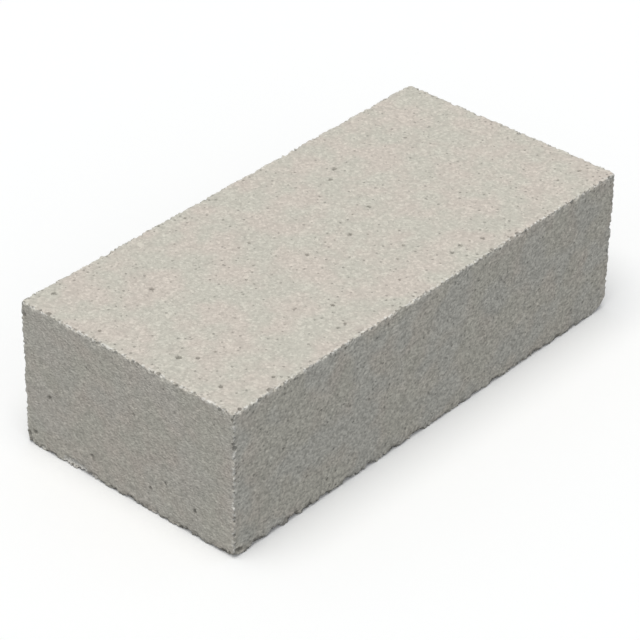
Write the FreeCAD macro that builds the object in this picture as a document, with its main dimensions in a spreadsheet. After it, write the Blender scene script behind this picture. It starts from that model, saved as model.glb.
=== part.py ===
import FreeCAD, Part
import Sketcher
import os

# A solid calcium silicate brick: one pressed and autoclaved block with sharp arrises.
#
# Millimetres. The origin is the centre of the bed that the brick lies on, +X runs along its
# length, +Y across its width and +Z up. Three small breaks are on its lower edges: a corner
# lost at +X, -Y, a nick in the corner at -X, -Y, and a shallow spall on the -X end.

DIMENSIONS = {
    "length": 210.0,
    "width": 100.0,
    "height": 60.0,
    "arris_radius": 0.6,
    # Broken corner: its reach along the bottom edge, its reach up the end arris, how far it
    # goes into the width, the radius of the broken surface and the slope it runs out at.
    "break_run": 11.0,
    "break_rise": 6.0,
    "break_depth": 8.0,
    "break_radius": 12.0,
    "break_slope": 27.0,
    # Nick, measured in the same way.
    "nick_run": 3.6,
    "nick_rise": 2.6,
    "nick_depth": 3.6,
    "nick_radius": 9.0,
    "nick_slope": 30.0,
    # Spall: its middle from the centre of the end, its size on the end face, its depth.
    "spall_offset": 26.0,
    "spall_length": 11.0,
    "spall_rise": 2.2,
    "spall_depth": 0.9,
    "spall_slope": 55.0,
}
SHEET = "dimensions"
# How far the outline of a break reaches past the faces that it opens through.
OVERHANG = 12.0
# Ends of a sketch line or arc, as the sketcher counts them.
START, END = 1, 2
ORIGIN_POINT = (-1, 1)
X_AXIS = -1


def make_sheet(doc):
    """Spreadsheet of the driving dimensions, each cell with its name as alias."""
    sheet = doc.addObject("Spreadsheet::Sheet", SHEET)
    for row, (name, value) in enumerate(DIMENSIONS.items(), start=1):
        sheet.set(f"A{row}", name)
        sheet.set(f"B{row}", str(value))
        sheet.setAlias(f"B{row}", name)
    doc.recompute()
    return sheet


def add_sketch(body, name, plane_role, offset=None):
    """Sketch on one of the body's origin planes, moved along its normal by an expression."""
    sketch = body.newObject("Sketcher::SketchObject", name)
    plane = next(f for f in body.Origin.OriginFeatures if f.Role == plane_role)
    sketch.AttachmentSupport = [(plane, "")]
    sketch.MapMode = "FlatFace"
    if offset:
        sketch.setExpression("AttachmentOffset.Base.z", offset)
    return sketch


def add_polyline(sketch, corners):
    """Straight lines from corner to corner, each line joined to the one before it."""
    points = [FreeCAD.Vector(x, y, 0) for x, y in corners]
    lines = [Part.LineSegment(a, b) for a, b in zip(points, points[1:])]
    indices = sketch.addGeometry(lines, False)
    for before, after in zip(indices, indices[1:]):
        sketch.addConstraint(Sketcher.Constraint("Coincident", before, END, after, START))
    return indices


def bind(sketch, name, expression, kind, *targets):
    """Dimensional constraint with a name, driven by an expression on the spreadsheet."""
    value = sketch.evalExpression(expression)
    index = sketch.addConstraint(Sketcher.Constraint(kind, *targets, float(value)))
    sketch.renameConstraint(index, name)
    sketch.setExpression(f"Constraints.{name}", expression)


def add_block(body):
    """The pressed block: a centred rectangle raised by the height, its arrises just eased."""
    x = DIMENSIONS["length"] / 2
    y = DIMENSIONS["width"] / 2
    sketch = add_sketch(body, "bed_outline", "XY_Plane")
    corners = [(-x, -y), (x, -y), (x, y), (-x, y), (-x, -y)]
    front, right, back, left = add_polyline(sketch, corners)
    sketch.addConstraint(Sketcher.Constraint("Coincident", left, END, front, START))
    for line in (front, back):
        sketch.addConstraint(Sketcher.Constraint("Horizontal", line))
    for line in (left, right):
        sketch.addConstraint(Sketcher.Constraint("Vertical", line))
    sketch.addConstraint(
        Sketcher.Constraint("Symmetric", front, START, back, START, *ORIGIN_POINT)
    )
    bind(sketch, "block_length", f"{SHEET}.length", "DistanceX", front, START, front, END)
    bind(sketch, "block_width", f"{SHEET}.width", "DistanceY", right, START, right, END)

    block = body.newObject("PartDesign::Pad", "block")
    block.Profile = sketch
    block.setExpression("Length", f"{SHEET}.height")
    body.Document.recompute()

    arrises = body.newObject("PartDesign::Fillet", "arrises")
    arrises.Base = (block, [f"Edge{i}" for i in range(1, len(block.Shape.Edges) + 1)])
    arrises.setExpression("Radius", f"{SHEET}.arris_radius")


def add_corner_break(body, name, side):
    """Break in a lower corner of the -Y face, at its +X end (side 1) or -X end (side -1).

    On the face it is bounded by an arc that bulges towards the lost corner, from the bottom
    edge to the end arris. It shrinks at its slope as it goes into the width.
    """
    sketch = add_sketch(body, f"{name}_outline", "XZ_Plane", f"{SHEET}.width / 2")
    size = {key: DIMENSIONS[f"{name}_{key}"] for key in ("run", "rise", "radius")}
    end = side * DIMENSIONS["length"] / 2
    foot = end - side * size["run"]
    outside = end + side * OVERHANG
    top = size["rise"]
    corners = [(foot, 0), (foot, -OVERHANG), (outside, -OVERHANG), (outside, top), (end, top)]
    start_side, under, far_side, over = add_polyline(sketch, corners)
    foot_point = FreeCAD.Vector(foot, 0, 0)
    top_point = FreeCAD.Vector(end, top, 0)
    half_chord = (top_point - foot_point).Length / 2
    bulge = size["radius"] - (size["radius"] ** 2 - half_chord**2) ** 0.5
    toward_corner = FreeCAD.Vector(side * top, -size["run"], 0).normalize()
    middle = (foot_point + top_point) / 2 + toward_corner * bulge
    arc = sketch.addGeometry(Part.Arc(foot_point, middle, top_point), False)
    # The sketcher keeps every arc anticlockwise, so its start depends on the side.
    arc_foot, arc_top = (START, END) if side > 0 else (END, START)
    sketch.addConstraint(Sketcher.Constraint("Coincident", arc, arc_foot, start_side, START))
    sketch.addConstraint(Sketcher.Constraint("Coincident", arc, arc_top, over, END))
    for line in (under, over):
        sketch.addConstraint(Sketcher.Constraint("Horizontal", line))
    for line in (start_side, far_side):
        sketch.addConstraint(Sketcher.Constraint("Vertical", line))
    sketch.addConstraint(Sketcher.Constraint("PointOnObject", start_side, START, X_AXIS))
    from_origin = (*ORIGIN_POINT, start_side, START)
    to_origin = (start_side, START, *ORIGIN_POINT)
    place_ends = from_origin if side > 0 else to_origin
    bind(sketch, "foot_place", f"{SHEET}.length / 2 - {SHEET}.{name}_run", "DistanceX", *place_ends)
    run_ends = (start_side, START, over, END) if side > 0 else (over, END, start_side, START)
    bind(sketch, "run", f"{SHEET}.{name}_run", "DistanceX", *run_ends)
    bind(sketch, "rise", f"{SHEET}.{name}_rise", "DistanceY", start_side, START, over, END)
    bind(sketch, "bulge_radius", f"{SHEET}.{name}_radius", "Radius", arc)
    reach = (over, END, over, START) if side > 0 else (over, START, over, END)
    sketch.addConstraint(Sketcher.Constraint("DistanceX", *reach, OVERHANG))
    sketch.addConstraint(
        Sketcher.Constraint("DistanceY", start_side, END, start_side, START, OVERHANG)
    )
    add_pocket(body, name, sketch)


def add_pocket(body, name, sketch):
    """Cut the outline into the block, shrinking at the named slope as it goes deeper."""
    pocket = body.newObject("PartDesign::Pocket", name)
    pocket.Profile = sketch
    pocket.setExpression("Length", f"{SHEET}.{name}_depth")
    pocket.setExpression("TaperAngle", f"-{SHEET}.{name}_slope")
    return pocket


def add_spall(body):
    """Shallow flake off the lower arris of the -X end: an arc standing on the bottom edge."""
    sketch = add_sketch(body, "spall_outline", "YZ_Plane", f"-{SHEET}.length / 2")
    middle = DIMENSIONS["spall_offset"]
    near = middle - DIMENSIONS["spall_length"] / 2
    far = middle + DIMENSIONS["spall_length"] / 2
    rise = DIMENSIONS["spall_rise"]
    corners = [(near, 0), (near, -OVERHANG), (far, -OVERHANG), (far, 0)]
    near_side, under, far_side = add_polyline(sketch, corners)
    arc_points = [FreeCAD.Vector(x, y, 0) for x, y in ((far, 0), (middle, rise), (near, 0))]
    arc = sketch.addGeometry(Part.Arc(*arc_points), False)
    sketch.addConstraint(Sketcher.Constraint("Coincident", arc, START, far_side, END))
    sketch.addConstraint(Sketcher.Constraint("Coincident", arc, END, near_side, START))
    sketch.addConstraint(Sketcher.Constraint("Horizontal", under))
    for line in (near_side, far_side):
        sketch.addConstraint(Sketcher.Constraint("Vertical", line))
    for line, end in ((near_side, START), (far_side, END)):
        sketch.addConstraint(Sketcher.Constraint("PointOnObject", line, end, X_AXIS))
    near_place = f"{SHEET}.spall_offset - {SHEET}.spall_length / 2"
    bind(sketch, "near_place", near_place, "DistanceX", *ORIGIN_POINT, near_side, START)
    bind(sketch, "spread", f"{SHEET}.spall_length", "DistanceX", near_side, START, far_side, END)
    # An arc's radius from its chord and its rise.
    radius = f"{SHEET}.spall_length ^ 2 / (8 * {SHEET}.spall_rise) + {SHEET}.spall_rise / 2"
    bind(sketch, "arc_radius", radius, "Radius", arc)
    sketch.addConstraint(
        Sketcher.Constraint("DistanceY", near_side, END, near_side, START, OVERHANG)
    )
    # The plane of the end looks along +X, so the cut goes in along its own normal.
    add_pocket(body, "spall", sketch).Reversed = True


def check(doc, parts):
    """Stop if any object failed, or if a sub-part is empty, invalid or not one solid."""
    for item in doc.Objects:
        if {"Invalid", "Error"} & set(item.State):
            raise RuntimeError(f"{item.Name} failed: {item.State}")
    for part in parts:
        shape = part.Shape
        if shape.isNull() or not shape.isValid() or len(shape.Solids) != 1:
            raise RuntimeError(f"{part.Label} is not one valid solid")


def main():
    doc = FreeCAD.newDocument("calcium_silicate_brick")
    make_sheet(doc)
    brick = doc.addObject("PartDesign::Body", "brick")
    brick.Label = "brick"
    brick.Placement = FreeCAD.Placement()
    add_block(brick)
    doc.recompute()
    whole = brick.Shape.Volume
    add_corner_break(brick, "break", 1)
    add_corner_break(brick, "nick", -1)
    add_spall(brick)
    doc.recompute()

    check(doc, [brick])
    os.makedirs("parts", exist_ok=True)
    brick.Shape.exportStep(f"parts/{brick.Label}.step")
    print(f"{brick.Label}: {brick.Shape.Volume:.1f} mm3, {whole - brick.Shape.Volume:.1f} mm3 broken off")


main()
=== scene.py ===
import itertools
import math

import bpy
import numpy as np
from mathutils import Matrix, Vector
from mathutils.geometry import delaunay_2d_cdt


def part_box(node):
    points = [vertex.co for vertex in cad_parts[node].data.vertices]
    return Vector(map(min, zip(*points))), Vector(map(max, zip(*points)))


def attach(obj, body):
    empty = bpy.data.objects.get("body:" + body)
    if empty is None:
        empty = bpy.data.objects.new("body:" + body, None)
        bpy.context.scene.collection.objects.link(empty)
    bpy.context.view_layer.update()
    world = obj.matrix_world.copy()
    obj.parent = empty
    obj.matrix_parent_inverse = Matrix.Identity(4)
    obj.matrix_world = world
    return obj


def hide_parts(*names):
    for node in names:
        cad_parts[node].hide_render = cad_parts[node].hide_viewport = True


# The looks of a solid calcium silicate brick: sandy faces with small pits, crumbling arrises,
# chips along the bottom and a broken corner. The surface is built in millimetres about the
# block's centre, from the size of the CAD block, and every displacement goes inward.

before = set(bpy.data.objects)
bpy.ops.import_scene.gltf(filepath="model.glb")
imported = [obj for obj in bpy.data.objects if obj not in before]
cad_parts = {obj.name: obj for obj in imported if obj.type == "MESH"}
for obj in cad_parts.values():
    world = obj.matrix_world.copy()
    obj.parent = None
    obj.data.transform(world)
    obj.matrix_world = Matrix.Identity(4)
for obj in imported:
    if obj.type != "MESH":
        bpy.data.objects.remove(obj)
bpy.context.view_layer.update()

MM = 0.001
LOW, HIGH = (np.array(corner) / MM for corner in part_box("brick"))
CENTRE = (LOW + HIGH) / 2
HALF = (HIGH - LOW) / 2
HALF_X, HALF_Y, HALF_Z = HALF
SEED = 17
# Faces as (axis, side): +X end, -X end, and so on.
FACES = list(itertools.product(range(3), (1, -1)))


# ---------------------------------------------------------------- noise

NOISE_PERIOD = 48


def lattice_noise(points, cell, seed):
    """Smooth noise between -1 and 1 at each point, with features about one cell wide."""
    table = np.random.default_rng(seed).uniform(-1, 1, [NOISE_PERIOD] * 3)
    scaled = points / cell
    base = np.floor(scaled).astype(int)
    part = scaled - base
    part = part * part * (3 - 2 * part)
    total = np.zeros(len(points))
    for corner in itertools.product((0, 1), repeat=3):
        i, j, k = ((base + corner) % NOISE_PERIOD).T
        weight = np.prod(np.where(corner, part, 1 - part), axis=1)
        total += weight * table[i, j, k]
    return total


def smoothstep(low, high, value):
    """0 at low, 1 at high and smooth between them; low may be the larger."""
    t = np.clip((value - low) / (high - low), 0, 1)
    return t * t * (3 - 2 * t)


# ---------------------------------------------------------------- damage
# A bite is a ball that takes material away: the surface inside it is pushed to its far side.

# Depths of random losses are shares of their rim radius. A rim radius is mostly near the least
# and now and then far larger.

# The widest pits of the upper bed and of the -X end: place in the face, rim radius.
UPPER_BED_PITS = [
    (36, 29, 0.9),
    (29, 25, 0.8),
    (24, 2, 0.8),
    (-16, -3, 0.8),
    (35, -42, 0.9),
    (26, -39, 0.8),
    (-69, 22, 0.9),
    (-94, 45, 0.9),
    (-93, -14, 1.1),
    (-89, -19, 0.8),
    (-96, -36, 0.9),
    (-34, -31, 0.8),
    (97, -39, 0.8),
    (12, -24, 0.7),
    (-80, -45, 0.7),
]
END_PITS = [
    (46, -24, 0.9),
    (17, -20, 0.7),
    (-11, -20, 0.9),
    (-32, -19, 0.9),
]
PIT_DEPTH = 0.75
SMALL_PITS_PER_CM2 = 0.5
SMALL_PIT_RIM = {"least": 0.3, "spread": 0.22, "tail": 3.6, "most": 0.85}
SMALL_PIT_DEPTH = 0.7
# How far small pits keep from the arrises.
PIT_MARGIN = 1.5
CRUMB_SPACING = 1.05
CRUMB_RIM = {"least": 0.36, "spread": 0.26, "tail": 2.8, "most": 1.0}
CRUMB_DEPTH = (0.35, 0.7)
CRUMB_TILT = (0.35, 1.0)
# How far in from the arris a crumb may lie, in rim radii.
CRUMB_SHIFTS = (0, 0.5, 1.0, 1.6)
NIBBLE_SPACING = 5.0
NIBBLE_RIM = (1.2, 4.0)
NIBBLE_DEPTH = (0.18, 0.42)
NIBBLE_TILT = (0.4, 1.2)
# A fresh spall just above the lower arris of the -X end: its middle across the block, its
# length and its height above the bed. It leaves a pale ledge.
SPALL_MIDDLE = 26.0
SPALL_LENGTH = 9.0
SPALL_HEIGHT = 1.5
SPALL_BITES = 6
SPALL_RIM = 1.5
SPALL_DEPTH = 0.85
# Wider losses along the lower arris of the -Y face: place from the -X end, depth.
LOWER_CHIPS = [
    (11.5, 1.7), (21.0, 2.0), (30.5, 1.9), (38.0, 1.5), (47.0, 1.7), (59.0, 1.6),
    (71.0, 1.8), (84.0, 1.3), (97.0, 1.5), (113.0, 1.2), (131.0, 1.4), (152.0, 1.2),
]
LOWER_CHIP_RIM = 3.8
# Small deep hollows beside the nick, on the -Y face: place from the -X end and from the bed.
NICK_HOLLOWS = [(1.6, 3.1), (2.5, 2.7), (3.4, 2.2)]
NICK_HOLLOW_SIZE = 0.9
# Broken corners: how far the break reaches along x, y and z, which corner, how far it bulges.
BREAKS = [
    # the lost corner at +X, -Y, low down: 11 mm along the edge, 6 mm up, 7 mm into the width
    {"legs": (11.0, 7.0, 6.0), "corner": (1, -1, -1), "bulge": 1.5},
    # the nick at the other end of the same edge
    {"legs": (4.5, 4.1, 2.8), "corner": (-1, -1, -1), "bulge": 0.2},
    # the other corners, only blunted
    {"legs": (2.2, 2.4, 1.8), "corner": (-1, 1, 1), "bulge": 0.3},
    {"legs": (2.8, 2.8, 2.0), "corner": (1, 1, 1), "bulge": 0.4},
    {"legs": (2.8, 2.4, 2.2), "corner": (1, -1, 1), "bulge": 0.4},
    {"legs": (2.2, 1.8, 2.4), "corner": (-1, 1, -1), "bulge": 0.2},
    {"legs": (2.6, 2.2, 1.8), "corner": (1, 1, -1), "bulge": 0.2},
]


def bite(centre, inward, rim, depth, fresh=False):
    """Ball whose cap inside the surface at `centre` has that rim radius and depth."""
    centre = np.array(centre, float)
    inward = np.array(inward, float) / np.linalg.norm(inward)
    radius = (rim**2 + depth**2) / (2 * depth)
    ball = centre - inward * (radius - depth)
    return {
        "centre": centre,
        "inward": inward,
        "rim": rim,
        "ball": ball,
        "radius": radius,
        "fresh": fresh,
    }


def random_rim(random, least, spread, tail, most):
    return min(least + spread * random.pareto(tail), most)


def face_pits(random):
    """Pits left by lost grains and air, over all six faces."""
    pits = []
    for x, y, rim in UPPER_BED_PITS:
        pits.append(bite((x, y, HALF_Z), (0, 0, -1), rim, PIT_DEPTH * rim))
    for y, z, rim in END_PITS:
        pits.append(bite((-HALF_X, y, z), (1, 0, 0), rim, PIT_DEPTH * rim))
    for x, z in NICK_HOLLOWS:
        place = (x - HALF_X, -HALF_Y, z - HALF_Z)
        pits.append(bite(place, (0, 1, 0.4), NICK_HOLLOW_SIZE, NICK_HOLLOW_SIZE))
    for axis, side in FACES:
        across = [a for a in range(3) if a != axis]
        square_cm = 4 * HALF[across[0]] * HALF[across[1]] / 100
        for _ in range(random.poisson(square_cm * SMALL_PITS_PER_CM2)):
            place = np.empty(3)
            place[axis] = side * HALF[axis]
            place[across] = random.uniform(-1, 1, 2) * (HALF[across] - PIT_MARGIN)
            inward = np.zeros(3)
            inward[axis] = -side
            rim = random_rim(random, **SMALL_PIT_RIM)
            pits.append(bite(place, inward, rim, SMALL_PIT_DEPTH * rim))
    return pits


def spall():
    """A row of fresh bites that look up and out, so that they leave a ledge below them."""
    row = np.linspace(-0.5, 0.5, SPALL_BITES) * SPALL_LENGTH + SPALL_MIDDLE
    places = [(-HALF_X, y, SPALL_HEIGHT - HALF_Z) for y in row]
    return [bite(place, (1, 0, -0.45), SPALL_RIM, SPALL_DEPTH, fresh=True) for place in places]


def lower_nibbles(random):
    """Wide shallow losses along the lower arrises, where the block was set down and dragged."""
    nibbles = [bite((x - HALF_X, -HALF_Y, -HALF_Z), (0, 1, 1), LOWER_CHIP_RIM, depth)
               for x, depth in LOWER_CHIPS]
    for along, across in ((0, 1), (1, 0)):
        for sign in (1, -1):
            for _ in range(int(2 * HALF[along] / NIBBLE_SPACING)):
                place = np.array([0.0, 0.0, -HALF_Z])
                place[along] = random.uniform(-HALF[along], HALF[along])
                place[across] = sign * HALF[across]
                inward = np.array([0.0, 0.0, 1.0])
                inward[across] = -sign * random.uniform(*NIBBLE_TILT)
                rim = random.uniform(*NIBBLE_RIM)
                nibbles.append(bite(place, inward, rim, rim * random.uniform(*NIBBLE_DEPTH)))
    return nibbles


def arris_crumbs(random):
    """Grains and crumbs lost along the twelve arrises, most of them tiny."""
    crumbs = []
    for axis in range(3):
        across = [a for a in range(3) if a != axis]
        for signs in itertools.product((1, -1), repeat=2):
            length = 2 * HALF[axis]
            for _ in range(int(length / CRUMB_SPACING)):
                place = np.empty(3)
                place[axis] = random.uniform(-HALF[axis], HALF[axis])
                place[across] = np.array(signs) * HALF[across]
                inward = np.zeros(3)
                inward[across] = -np.array(signs) * random.uniform(*CRUMB_TILT, 2)
                rim = random_rim(random, **CRUMB_RIM)
                # Most lie a little way in from the arris, on one face or the other.
                shifted = across[random.integers(2)]
                place[shifted] -= np.sign(place[shifted]) * rim * random.choice(CRUMB_SHIFTS)
                crumbs.append(bite(place, inward, rim, rim * random.uniform(*CRUMB_DEPTH)))
    return crumbs


# ---------------------------------------------------------------- surface mesh

ARRIS_STEP = 0.32
NEAR_STEP = 0.62
FACE_STEP = 1.25
COARSEST_CELL = 4 * FACE_STEP
ARRIS_BAND = 0.8
NEAR_BAND = 2.6
# How far past a bite's rim and a break's longest leg the fine mesh reaches.
BITE_REACH = 1.25
BREAK_REACH = 1.15
# Point spacing in a bite, and how far points stray, as shares of its rim and of their cell.
BITE_STEP = 0.38
JITTER = 0.22
# A cell is fine enough when it is at most this many times the spacing wanted there.
STEP_SLACK = 1.05


def arris_distance(points):
    """How far each point of the sharp block is from the nearest arris."""
    return np.sort(HALF - np.abs(points), axis=1)[:, 1]


def wanted_step(points, bites):
    """Point spacing wanted at each place on the sharp block: fine along arrises and at damage."""
    to_arris = arris_distance(points)
    step = np.where(to_arris < NEAR_BAND, NEAR_STEP, FACE_STEP)
    step = np.where(to_arris < ARRIS_BAND, ARRIS_STEP, step)
    for item in bites:
        near = np.linalg.norm(points - item["centre"], axis=1) < item["rim"] * BITE_REACH + 0.1
        step[near] = np.minimum(step[near], max(ARRIS_STEP, item["rim"] * BITE_STEP))
    for item in BREAKS:
        corner = np.array(item["corner"]) * HALF
        near = np.linalg.norm(points - corner, axis=1) < max(item["legs"]) * BREAK_REACH
        step[near] = np.minimum(step[near], NEAR_STEP)
    return step


def face_points(axis, side, bites, random):
    """Jittered points inside one face, from cells split until each is as small as wanted."""
    first, second = [a for a in range(3) if a != axis]
    spans = 2 * HALF[[first, second]]
    counts = np.ceil(spans / COARSEST_CELL).astype(int)
    size = spans / counts
    grid = np.stack(np.meshgrid(*(np.arange(c) for c in counts), indexing="ij"), -1)
    low = grid.reshape(-1, 2) * size - HALF[[first, second]]
    near_face = [b for b in bites if abs(b["centre"][axis] - side * HALF[axis]) < 0.01]
    kept = []
    while len(low):
        middle = np.empty((len(low), 3))
        middle[:, axis] = side * HALF[axis]
        middle[:, first] = low[:, 0] + size[0] / 2
        middle[:, second] = low[:, 1] + size[1] / 2
        fine_enough = size.max() <= wanted_step(middle, near_face) * STEP_SLACK
        done = middle[fine_enough]
        done[:, [first, second]] += random.uniform(-JITTER, JITTER, (len(done), 2)) * size
        kept.append(done)
        rest = low[~fine_enough]
        size = size / 2
        quarters = itertools.product((0, 1), repeat=2)
        low = np.concatenate([rest + size * quarter for quarter in quarters])
    return np.concatenate(kept)


def edge_points(axis, side):
    """Evenly spaced points round the four arrises of a face, the same for both its faces."""
    first, second = [a for a in range(3) if a != axis]
    rows = []
    for along, across in ((first, second), (second, first)):
        count = round(2 * HALF[along] / ARRIS_STEP)
        for sign in (1, -1):
            row = np.empty((count + 1, 3))
            row[:, axis] = side * HALF[axis]
            row[:, along] = np.linspace(-HALF[along], HALF[along], count + 1)
            row[:, across] = sign * HALF[across]
            rows.append(row)
    return np.unique(np.round(np.concatenate(rows), 6), axis=0)


def sharp_block(bites, random):
    """Vertices, triangles and each triangle's face number for the block before any damage."""
    all_points, all_triangles, all_faces = [], [], []
    start = 0
    for number, (axis, side) in enumerate(FACES):
        first, second = [a for a in range(3) if a != axis]
        points = np.concatenate([edge_points(axis, side), face_points(axis, side, bites, random)])
        flat = [Vector(p) for p in points[:, [first, second]]]
        _, _, triangles, _, _, _ = delaunay_2d_cdt(flat, [], [], 0, 1e-7, False)
        triangles = np.array(triangles)
        # Delaunay turns every triangle the same way; turn it to look out of this face.
        outward = side * (-1 if axis == 1 else 1)
        if outward < 0:
            triangles = triangles[:, ::-1]
        all_points.append(points)
        all_triangles.append(triangles + start)
        all_faces.append(np.full(len(triangles), number))
        start += len(points)
    points = np.concatenate(all_points)
    unique, inverse = np.unique(np.round(points, 5), axis=0, return_inverse=True)
    return unique, inverse.ravel()[np.concatenate(all_triangles)], np.concatenate(all_faces)


# ---------------------------------------------------------------- wear and relief

ARRIS_RADIUS = 0.7
# The lower arrises are more worn than the upper ones.
LOWER_ARRIS_EXTRA = 0.7
# Waves in the radius: width and strength; then the least and the most of the radius.
ARRIS_WAVES = ((1, 2.2), (2, 1.8), (6, 0.8))
ARRIS_RANGE = (0.2, 3.0)
UNDULATION = 0.16
UNDULATION_FADE = 5.0
SLOW_WAVE = 26.0
MIDDLE_WAVE = 7.0
GRAIN_RELIEF = 0.12
GRAIN_WIDTH = 1.1
BITE_ROUGHNESS = 0.28
ROUGHNESS_WIDTH = 0.9
BREAK_COARSE_WIDTH = 2.4
BREAK_FINE_WIDTH = 0.9
# How much the x, y and z faces take of the side looks: cool patches, less warm drift, more patches
# and stronger grain contrast. That contrast is painted relief shade where the light rakes the
# sides. The beds take none.
SAND_AND_RELIEF_SHADE = (0.5, 1.0, 0.0)


def undulate(points):
    """Faces pressed not quite flat: a slow inward wave, and a finer one from the grains."""
    moved = points.copy()
    for axis in range(3):
        side = np.sign(points[:, axis])
        near = 1 - smoothstep(0, UNDULATION_FADE, HALF[axis] - np.abs(points[:, axis]))
        slow = lattice_noise(points, SLOW_WAVE, SEED + axis) * 0.5 + 0.5
        middle = lattice_noise(points, MIDDLE_WAVE, SEED + 3 + axis) * 0.5 + 0.5
        grain = lattice_noise(points, GRAIN_WIDTH, SEED + 6 + axis) * 0.5 + 0.5
        inward = UNDULATION * (0.7 * slow + 0.3 * middle) + GRAIN_RELIEF * grain
        moved[:, axis] -= side * near * inward
    return moved


def round_arrises(points):
    """Arrises eased by a radius that changes from grain to grain."""
    ragged = sum(strength * lattice_noise(points, width, SEED + 20 + width)
                 for width, strength in ARRIS_WAVES)
    low_down = smoothstep(-0.8 * HALF_Z, -HALF_Z, points[:, 2])
    radius = (ARRIS_RADIUS + LOWER_ARRIS_EXTRA * low_down) * np.clip(1 + ragged, *ARRIS_RANGE)
    radius = radius[:, None]
    core = np.clip(points, radius - HALF, HALF - radius)
    out = points - core
    length = np.linalg.norm(out, axis=1, keepdims=True)
    return np.where(length > 1e-9, core + out * radius / np.maximum(length, 1e-9), points)


def take_bites(points, bites):
    """Push the surface inside each ball to the ball's far side.

    Also say how deep each point went in old bites, and which points lie in fresh ones.
    """
    moved = points.copy()
    depth = np.zeros(len(points))
    fresh = np.zeros(len(points))
    rough = 1 + BITE_ROUGHNESS * lattice_noise(points, ROUGHNESS_WIDTH, SEED + 30)
    order = np.argsort(moved[:, 0])
    sorted_x = moved[order, 0]
    for item in bites:
        reach = item["rim"] * 1.4 + 0.2
        centre = item["centre"]
        span = slice(*np.searchsorted(sorted_x, (centre[0] - reach, centre[0] + reach)))
        near = order[span]
        near = near[np.linalg.norm(moved[near] - centre, axis=1) < reach]
        from_ball = moved[near] - item["ball"]
        along = from_ball @ item["inward"]
        inside = (item["radius"] - item["rim"] + item["rim"] * rough[near]) ** 2
        inside -= (from_ball**2).sum(1)
        push = np.sqrt(np.maximum(along**2 + inside, 0)) - along
        push = np.where(inside > 0, push, 0)
        moved[near] += push[:, None] * item["inward"]
        record = fresh if item["fresh"] else depth
        record[near] = np.maximum(record[near], push)
    return moved, depth, fresh


def break_corners(points):
    """Corners broken off along rough, slightly bulging planes.

    Also say how deep each point went.
    """
    moved = points.copy()
    fresh = np.zeros(len(points))
    coarse = lattice_noise(points, BREAK_COARSE_WIDTH, SEED + 40)
    fine = lattice_noise(points, BREAK_FINE_WIDTH, SEED + 41)
    for item in BREAKS:
        corner = np.array(item["corner"]) * HALF
        legs = np.array(item["legs"])
        facing = np.array(item["corner"]) / legs
        facing /= np.linalg.norm(facing)
        on_plane = corner - np.array([item["corner"][0] * legs[0], 0, 0])
        middle = corner - np.array(item["corner"]) * legs / 3
        from_middle = moved - middle
        across = from_middle - np.outer(from_middle @ facing, facing)
        spread = (across**2).sum(1) / (0.6 * legs.max()) ** 2
        relief = item["bulge"] * np.clip(1 - spread, 0, 1)
        # Small breaks are smoother than large ones.
        relief += min(0.3, 0.05 * legs.max()) * coarse + min(0.15, 0.04 * legs.max()) * fine
        beyond = (moved - on_plane) @ facing - relief
        near = (np.linalg.norm(moved - corner, axis=1) < 2 * legs.max()) & (beyond > 0)
        moved[near] -= beyond[near, None] * facing
        fresh[near] = beyond[near]
    return moved, fresh


# ---------------------------------------------------------------- brick object

UV_GAP = 2.0
# Depth at which the painted shade in a pit, crumb or chip is full.
DARK_PIT_DEPTH = 0.22
# How pale a fresh flake and a break look, for each millimetre that they went in.
FLAKE_PALENESS = 3.0
BREAK_PALENESS = 0.12
# Distances from the arris between which each effect fades out: wear, crumbling, and the painted
# shade under the lower arrises.
WORN_BAND = (0.1, 1.3)
CRUMBLY_BAND = (0.8, 4.0)
UNDER_SHADE_BAND = (0.8, 2.5)
# Heights above the bed between which the painted shade under the lower arrises fades out, and the
# width of its patches.
UNDER_SHADE_HEIGHT = (0.2, 1.6)
UNDER_SHADE_PATCH = 6.0


def unwrap(sharp, triangles, numbers):
    """Flat places of the triangles' corners, each face laid out on its own in one square.

    The four long faces are stacked, and the two ends stand beside them.
    """
    length, width, height = 2 * HALF
    stack = [(4, width), (5, width), (2, height), (3, height)]
    corners = {}
    reach = UV_GAP
    for number, rise in stack:
        corners[number] = (UV_GAP, reach)
        reach += rise + UV_GAP
    square = reach
    corners[0] = (length + 2 * UV_GAP, UV_GAP)
    corners[1] = (length + 2 * UV_GAP, height + 2 * UV_GAP)
    flat = np.empty((len(triangles), 3, 2))
    for number, (axis, _) in enumerate(FACES):
        first, second = [a for a in range(3) if a != axis]
        mine = numbers == number
        local = sharp[triangles[mine]][:, :, [first, second]] + HALF[[first, second]]
        flat[mine] = (local + corners[number]) / square
    return flat.reshape(-1, 2)


def under_arris_shade(points):
    """Painted shade along the lower arrises, from 0 to 1, where their rounding turns down to the
    floor; none on the fresh spall.
    """
    low_down = 1 - smoothstep(*UNDER_SHADE_HEIGHT, points[:, 2] + HALF_Z)
    low_down *= 1 - smoothstep(*UNDER_SHADE_BAND, arris_distance(points))
    from_spall = np.linalg.norm(points - [-HALF_X, SPALL_MIDDLE, -HALF_Z], axis=1)
    low_down *= smoothstep(0.5 * SPALL_LENGTH, 0.5 * SPALL_LENGTH + 2, from_spall)
    return low_down * smoothstep(-0.6, 0.3, lattice_noise(points, UNDER_SHADE_PATCH, SEED + 50))


def add_attribute(mesh, name, values):
    layer = mesh.attributes.new(name, "FLOAT", "POINT")
    layer.data.foreach_set("value", values.astype(np.float32))


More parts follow.
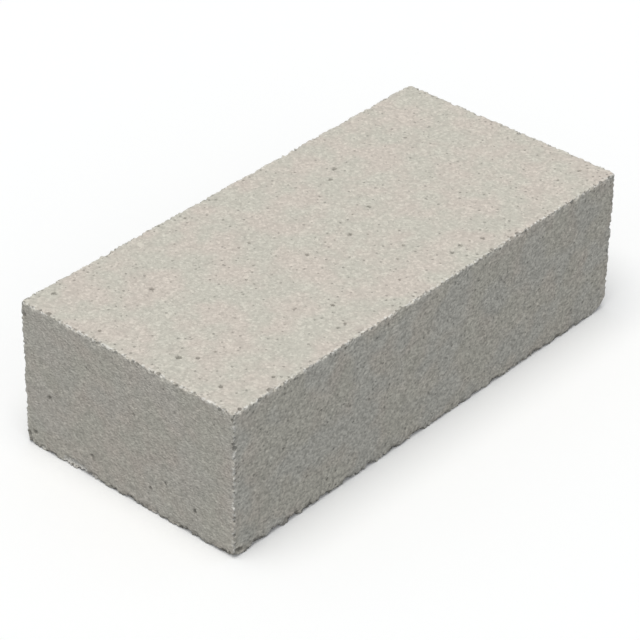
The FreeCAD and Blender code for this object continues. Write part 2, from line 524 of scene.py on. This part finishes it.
def make_brick():
    random = np.random.default_rng(SEED)
    bites = lower_nibbles(random) + face_pits(random) + arris_crumbs(random) + spall()
    sharp, triangles, numbers = sharp_block(bites, random)
    shaped = round_arrises(undulate(sharp))
    shaped, depth, flaked = take_bites(shaped, bites)
    shaped, broken = break_corners(shaped)
    shaped = np.clip(shaped, -HALF, HALF)

    mesh = bpy.data.meshes.new("brick_surface")
    mesh.from_pydata((shaped + CENTRE) * MM, [], triangles.tolist())
    to_arris = arris_distance(sharp)
    # Painted shade: darker the deeper a pit, crumb or chip went, and darker along the lower
    # arrises; none on the fresh spall.
    dark = np.clip(np.maximum(depth / DARK_PIT_DEPTH, under_arris_shade(sharp)), 0, 1)
    paleness = np.maximum(FLAKE_PALENESS * flaked, BREAK_PALENESS * broken)
    add_attribute(mesh, "painted_shade", np.where(flaked > 0, 0, dark))
    add_attribute(mesh, "fresh", np.clip(paleness, 0, 1))
    add_attribute(mesh, "worn", 1 - smoothstep(*WORN_BAND, to_arris))
    add_attribute(mesh, "crumbly", 1 - smoothstep(*CRUMBLY_BAND, to_arris))
    # Per face: the side looks, with grain contrast raised as painted relief shade.
    add_attribute(mesh, "sand_and_relief_shade", np.where(np.abs(sharp) > HALF - 0.01, SAND_AND_RELIEF_SHADE, 0).max(axis=1))
    layer = mesh.uv_layers.new(name="OFBake")
    layer.data.foreach_set("uv", unwrap(sharp, triangles, numbers).ravel())
    mesh.polygons.foreach_set("use_smooth", np.ones(len(triangles), bool))
    mesh.update()
    brick = bpy.data.objects.new("brick_surface", mesh)
    bpy.context.scene.collection.objects.link(brick)
    return brick


# ---------------------------------------------------------------- material

BASE_COLOUR = (0.618, 0.593, 0.520)
WARM_COLOUR = (0.653, 0.591, 0.525)
COOL_COLOUR = (0.615, 0.598, 0.541)
FRESH_COLOUR = (0.86, 0.84, 0.79)
# How dark the darkest grains and the fullest painted shade make the sand.
DARK_GRAIN_AND_SHADE = 0.53
# Widths of the textures, in millimetres.
DRIFT_WIDTH = 15.0
COOL_WIDTH = 16.0
WORN_WIDTH = 1.3
PATCH_WIDTH = 4.0
GRAIN_TEXTURE_WIDTH = 1.2
SAND_WIDTH = 0.85
SPOT_WIDTH = 1.7
RELIEF_WIDTH = 0.8
# Values of a texture between which each effect sets in.
DRIFT_RAMP = (0.36, 0.66)
COOL_RAMP = (0.42, 0.62)
WORN_RAMP = (0.46, 0.60)
PALE_SAND_RAMP = (0.7, 1.0)
SPOT_RAMP = (0.66, 1.0)
SPOT_EDGE = (-0.05, 0.12)
# How strong each effect is on a bed, and what a y face adds, which has the side looks and the
# painted relief shade in full.
DRIFT_STRENGTH = (1.0, -0.4)
GRAIN_STRENGTH = (0.38, 0.62)
PATCH_STRENGTH = (0.05, 0.06)
WORN_PALENESS = 0.75
FRESH_PALENESS = 0.85
SAND_TONE = 0.12
PALE_SAND = 0.11
# Keeps the mean shade near 1 once the sand's tones are added.
SAND_BASE = 0.925
SPOT_SIZE = 0.30
SPOT_DARKNESS = 0.7
# How many more dark spots there are along the arrises: painted shade of lost crumbs.
CRUMBLY_SPOTS = 0.3
# The sand was pressed from above, so its grain is a little lower than it is wide.
PRESSED = (1.0, 1.0, 1.15)
RELIEF_DEPTH = 0.34
# What each texture puts into the relief.
RELIEF_NOISE = 0.7
RELIEF_GRAIN = 0.4
RELIEF_SAND = 0.3
RELIEF_PORES = 0.5


class Nodes:
    """Short ways to add and join shader nodes in one tree."""

    def __init__(self, tree):
        self.tree = tree
        tree.nodes.clear()

    def add(self, kind, inputs=None, **settings):
        node = self.tree.nodes.new(kind)
        for name, value in settings.items():
            setattr(node, name, value)
        for name, value in (inputs or {}).items():
            self.feed(node.inputs[name], value)
        return node

    def feed(self, socket, value):
        if isinstance(value, bpy.types.NodeSocket):
            self.tree.links.new(value, socket)
        else:
            socket.default_value = value

    def math(self, operation, *values, clamp=False):
        node = self.add("ShaderNodeMath", operation=operation, use_clamp=clamp)
        for socket, value in zip(node.inputs, values):
            self.feed(socket, value)
        return node.outputs[0]

    def mix(self, factor, first, second):
        node = self.add("ShaderNodeMix", data_type="RGBA")
        for number, value in ((0, factor), (6, first), (7, second)):
            self.feed(node.inputs[number], value)
        return node.outputs[2]

    def noise(self, place, cell_mm, detail=1.0):
        """Noise from 0 to 1 with features about that many millimetres wide."""
        inputs = {"Vector": place, "Scale": 1 / (cell_mm * MM), "Detail": detail}
        return self.add("ShaderNodeTexNoise", inputs).outputs["Fac"]

    def cells(self, place, cell_mm):
        """Voronoi cells about that many millimetres wide."""
        return self.add("ShaderNodeTexVoronoi", {"Vector": place, "Scale": 1 / (cell_mm * MM)})

    def cell_value(self, cells, channel):
        """A random number from 0 to 1 for each cell, another for each channel."""
        split = self.add("ShaderNodeSeparateColor", {"Color": cells.outputs["Color"]})
        return split.outputs[channel]

    def by_sand_and_relief_shade(self, sand_and_relief_shade, strength):
        """A strength that goes with the face: its side looks and its painted relief shade."""
        on_bed, added = strength
        return self.math("MULTIPLY_ADD", sand_and_relief_shade, added, on_bed)

    def attribute(self, name):
        return self.add("ShaderNodeAttribute", attribute_name=name).outputs["Fac"]

    def ramp(self, value, low, high):
        """0 below low, 1 above high, smooth between."""
        inputs = {"Value": value, "From Min": low, "From Max": high}
        node = self.add("ShaderNodeMapRange", inputs, interpolation_type="SMOOTHSTEP")
        return node.outputs["Result"]


def opaque(colour):
    return (*colour, 1.0)


def brick_material():
    material = bpy.data.materials.new("calcium_silicate")
    material.use_nodes = True
    nodes = Nodes(material.node_tree)
    place = nodes.add("ShaderNodeTexCoord").outputs["Object"]
    names = ("painted_shade", "fresh", "worn", "crumbly", "sand_and_relief_shade")
    painted_shade, fresh, worn, crumbly, sand_and_relief_shade = (nodes.attribute(name) for name in names)

    # Slow drift between greys, then paler on worn arrises and where it is freshly broken.
    drift = nodes.ramp(nodes.noise(place, DRIFT_WIDTH, 2.5), *DRIFT_RAMP)
    drift = nodes.math("MULTIPLY", drift, nodes.by_sand_and_relief_shade(sand_and_relief_shade, DRIFT_STRENGTH))
    colour = nodes.mix(drift, opaque(BASE_COLOUR), opaque(WARM_COLOUR))
    cool = nodes.math("MULTIPLY", sand_and_relief_shade, nodes.ramp(nodes.noise(place, COOL_WIDTH), *COOL_RAMP))
    colour = nodes.mix(cool, colour, opaque(COOL_COLOUR))
    pale = nodes.math("MULTIPLY", worn, nodes.ramp(nodes.noise(place, WORN_WIDTH), *WORN_RAMP))
    pale = nodes.math("MULTIPLY", pale, WORN_PALENESS)
    pale = nodes.math("MAXIMUM", pale, nodes.math("MULTIPLY", fresh, FRESH_PALENESS))
    colour = nodes.mix(pale, colour, opaque(FRESH_COLOUR))

    # Sand: fine light and dark grain, with single darker spots that are partly dark grains and
    # partly painted shade in pores.
    pressed = nodes.add("ShaderNodeVectorMath", {0: place, 1: PRESSED}, operation="MULTIPLY")
    pressed = pressed.outputs[0]
    grain = nodes.noise(pressed, GRAIN_TEXTURE_WIDTH)
    sand = nodes.cells(pressed, SAND_WIDTH)
    tone = nodes.cell_value(sand, "Green")
    # Grain contrast stronger on the side faces: painted relief shade where the light rakes them.
    contrast = nodes.by_sand_and_relief_shade(sand_and_relief_shade, GRAIN_STRENGTH)
    fine = nodes.math("MULTIPLY_ADD", nodes.math("SUBTRACT", grain, 0.5), contrast, SAND_BASE)
    fine = nodes.math("MULTIPLY_ADD", tone, SAND_TONE, fine)
    fine = nodes.math("MULTIPLY_ADD", nodes.ramp(tone, *PALE_SAND_RAMP), PALE_SAND, fine)
    patch = nodes.math("SUBTRACT", nodes.noise(place, PATCH_WIDTH), 0.5)
    patch = nodes.math("MULTIPLY_ADD", patch, nodes.by_sand_and_relief_shade(sand_and_relief_shade, PATCH_STRENGTH), 1.0)
    spots = nodes.cells(place, SPOT_WIDTH)
    chance = nodes.math("MULTIPLY_ADD", crumbly, CRUMBLY_SPOTS, nodes.cell_value(spots, "Red"))
    size = nodes.math("MULTIPLY", nodes.ramp(chance, *SPOT_RAMP), SPOT_SIZE)
    spot = nodes.math("SUBTRACT", size, spots.outputs["Distance"])
    spot = nodes.math("SUBTRACT", nodes.ramp(spot, *SPOT_EDGE), fresh, clamp=True)
    # Dark grains and pores, with the painted shade of hollows and of the lower arrises.
    dark = nodes.math("MAXIMUM", nodes.math("MULTIPLY", spot, SPOT_DARKNESS), painted_shade)
    shade = nodes.math("MULTIPLY", fine, patch)
    shade = nodes.math("MULTIPLY", shade, nodes.math("MULTIPLY_ADD", dark, DARK_GRAIN_AND_SHADE - 1, 1.0))
    scaled = nodes.add("ShaderNodeVectorMath", {0: colour}, operation="SCALE")
    nodes.feed(scaled.inputs["Scale"], shade)

    # Relief too fine for the mesh: its own noise, the grain, the sand and the pores.
    relief = nodes.noise(place, RELIEF_WIDTH)
    height = nodes.math("MULTIPLY", grain, RELIEF_GRAIN)
    height = nodes.math("MULTIPLY_ADD", relief, RELIEF_NOISE, height)
    low_sand = nodes.math("MULTIPLY", sand.outputs["Distance"], RELIEF_SAND)
    height = nodes.math("SUBTRACT", height, low_sand)
    height = nodes.math("SUBTRACT", height, nodes.math("MULTIPLY", spot, RELIEF_PORES))
    depth = RELIEF_DEPTH * MM
    bump = nodes.add("ShaderNodeBump", {"Height": height, "Strength": 1.0, "Distance": depth})
    inputs = {
        "Base Color": scaled.outputs[0],
        "Roughness": 0.93,
        "Specular IOR Level": 0.25,
        "Normal": bump.outputs["Normal"],
    }
    surface = nodes.add("ShaderNodeBsdfPrincipled", inputs)
    output = nodes.add("ShaderNodeOutputMaterial")
    nodes.feed(output.inputs["Surface"], surface.outputs[0])
    return material


# ---------------------------------------------------------------- stage, light and camera

FLOOR_SIZE = 12.0
FLOOR_BOUNCE = (0.30, 0.30, 0.30)
# What the camera alone sees on top of the floor's own light, so that it reads as white.
FLOOR_LIFT = 0.05
WHITE = (1.0, 1.0, 1.0)
AMBIENT_COLOUR = (0.380, 0.396, 0.414)
# Direction towards each lamp, how bright it makes a white card that faces it, and its softness.
KEY_LIGHT = {
    "towards": (-0.22, -0.02, 1.0),
    "card": 0.54,
    "angle": 45.0,
    "colour": (1.0, 0.985, 0.95),
}
FILL_LIGHT = {
    "towards": (-0.7, -0.75, 0.5),
    "card": 0.10,
    "angle": 60.0,
    "colour": (0.98, 0.99, 1.0),
}


def camera_only(nodes, seen, felt):
    """One shader for what the camera sees and another for the light that the object feels."""
    ray = nodes.add("ShaderNodeLightPath").outputs["Is Camera Ray"]
    mix = nodes.add("ShaderNodeMixShader", {0: ray})
    nodes.feed(mix.inputs[1], felt)
    nodes.feed(mix.inputs[2], seen)
    return mix.outputs[0]


def make_floor():
    half = FLOOR_SIZE / 2
    mesh = bpy.data.meshes.new("floor")
    base = LOW[2] * MM
    corners = [(-half, -half, base), (half, -half, base), (half, half, base), (-half, half, base)]
    mesh.from_pydata(corners, [], [(0, 1, 2, 3)])
    floor = bpy.data.objects.new("floor", mesh)
    bpy.context.scene.collection.objects.link(floor)
    material = bpy.data.materials.new("floor")
    material.use_nodes = True
    nodes = Nodes(material.node_tree)
    lit = nodes.add("ShaderNodeBsdfDiffuse", {"Color": opaque(WHITE)}).outputs[0]
    glow = {"Color": opaque(WHITE), "Strength": FLOOR_LIFT}
    lift = nodes.add("ShaderNodeEmission", glow).outputs[0]
    seen = nodes.add("ShaderNodeAddShader", {0: lit, 1: lift}).outputs[0]
    felt = nodes.add("ShaderNodeBsdfDiffuse", {"Color": opaque(FLOOR_BOUNCE)}).outputs[0]
    output = nodes.add("ShaderNodeOutputMaterial")
    nodes.feed(output.inputs["Surface"], camera_only(nodes, seen, felt))
    mesh.materials.append(material)


def make_world():
    world = bpy.data.worlds.new("studio")
    world.use_nodes = True
    bpy.context.scene.world = world
    nodes = Nodes(world.node_tree)
    seen = nodes.add("ShaderNodeBackground", {"Color": opaque(WHITE)}).outputs[0]
    felt = nodes.add("ShaderNodeBackground", {"Color": opaque(AMBIENT_COLOUR)}).outputs[0]
    output = nodes.add("ShaderNodeOutputWorld")
    nodes.feed(output.inputs["Surface"], camera_only(nodes, seen, felt))


def add_sun(name, towards, card, angle, colour):
    lamp = bpy.data.lights.new(name, "SUN")
    lamp.energy = card * math.pi
    lamp.angle = math.radians(angle)
    lamp.color = colour
    sun = bpy.data.objects.new(name, lamp)
    sun.rotation_euler = Vector(towards).to_track_quat("Z", "Y").to_euler()
    bpy.context.scene.collection.objects.link(sun)


CAMERA_AZIMUTH = math.radians(-49.34)
CAMERA_ELEVATION = math.radians(33.74)
CAMERA_ROLL = math.radians(1.09)
CAMERA_DISTANCE = 1010.5
# How far the camera sits off the line through the block's centre, to its right and up.
CAMERA_ASIDE = (-3.1, -5.9)
LENS = 155.8


def make_camera():
    back = Vector((
        math.sin(CAMERA_AZIMUTH) * math.cos(CAMERA_ELEVATION),
        -math.cos(CAMERA_AZIMUTH) * math.cos(CAMERA_ELEVATION),
        math.sin(CAMERA_ELEVATION),
    ))
    level = Vector((math.cos(CAMERA_AZIMUTH), math.sin(CAMERA_AZIMUTH), 0))
    turn = Matrix.Rotation(CAMERA_ROLL, 3, back)
    right = turn @ level
    up = back.cross(right)
    place = Vector(CENTRE) + back * CAMERA_DISTANCE + right * CAMERA_ASIDE[0] + up * CAMERA_ASIDE[1]
    lens = bpy.data.cameras.new("camera")
    lens.lens = LENS
    camera = bpy.data.objects.new("camera", lens)
    axes = Matrix((right, up, back)).transposed().to_4x4()
    camera.matrix_world = Matrix.Translation(place * MM) @ axes
    bpy.context.scene.collection.objects.link(camera)
    bpy.context.scene.camera = camera


brick = make_brick()
brick.data.materials.append(brick_material())
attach(brick, "root")
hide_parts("brick")
make_floor()
make_world()
add_sun("key", **KEY_LIGHT)
add_sun("fill", **FILL_LIGHT)
make_camera()
bpy.context.scene.view_settings.view_transform = "Standard"
